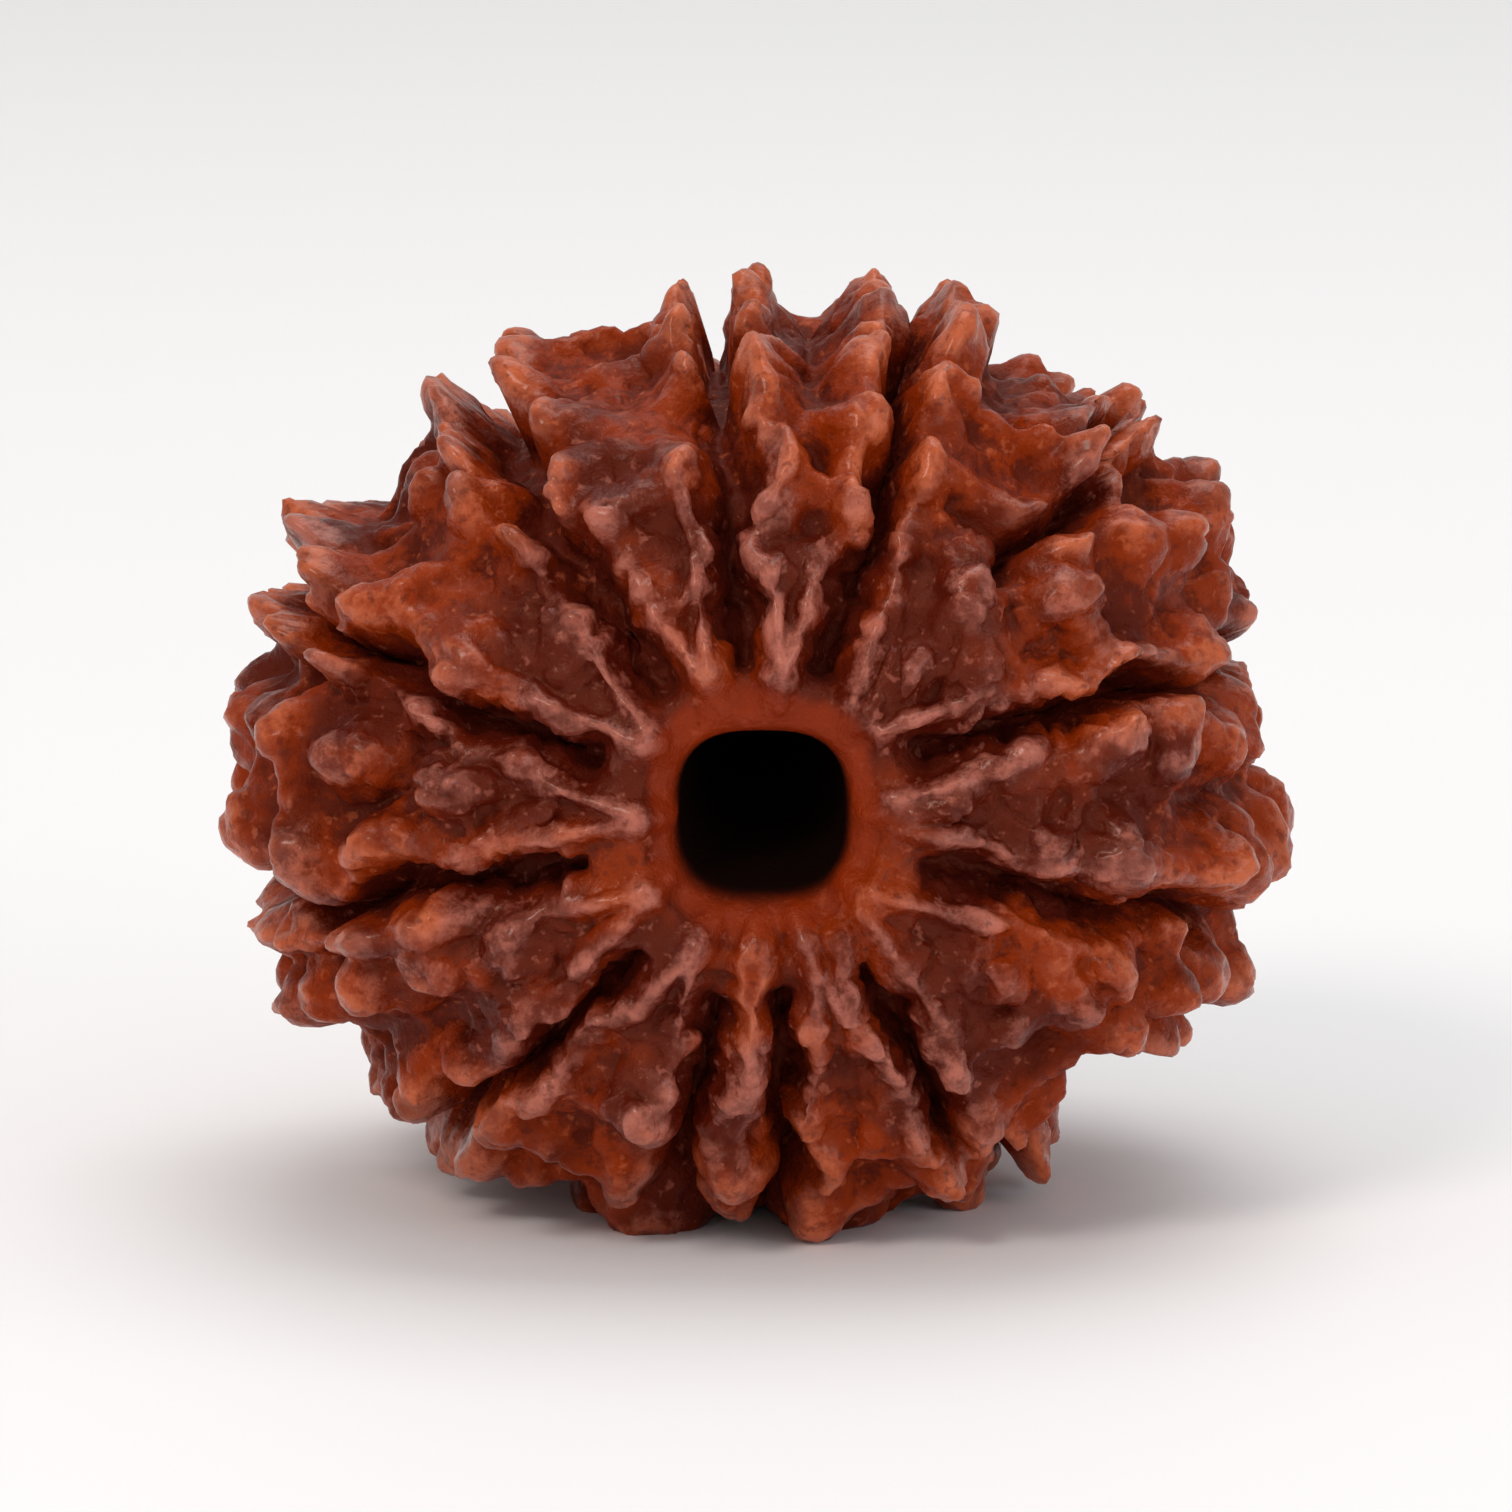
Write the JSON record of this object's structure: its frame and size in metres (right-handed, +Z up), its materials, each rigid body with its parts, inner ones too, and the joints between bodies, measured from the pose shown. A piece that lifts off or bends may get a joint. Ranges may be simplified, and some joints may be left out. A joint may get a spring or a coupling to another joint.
{
  "type": "rudraksha bead",
  "caption": "Knobbly oval seed-stone bead, grooved into faces from mouth to mouth, with a thread hole through its middle.",
  "frame": {"origin": "on the surface that the bead rests on, under the middle of its bounding box", "axes": "+Z up, +X to the right along the bead's widest diameter, Y along the thread hole, with -Y towards the camera"},
  "size_m": [0.0299, 0.0247, 0.0256],
  "materials": {
    "seed_stone": "oiled, low gloss"
  },
  "bodies": {
    "root": {"rudraksha_bead": "seed_stone"}
  },
  "joints": []
}
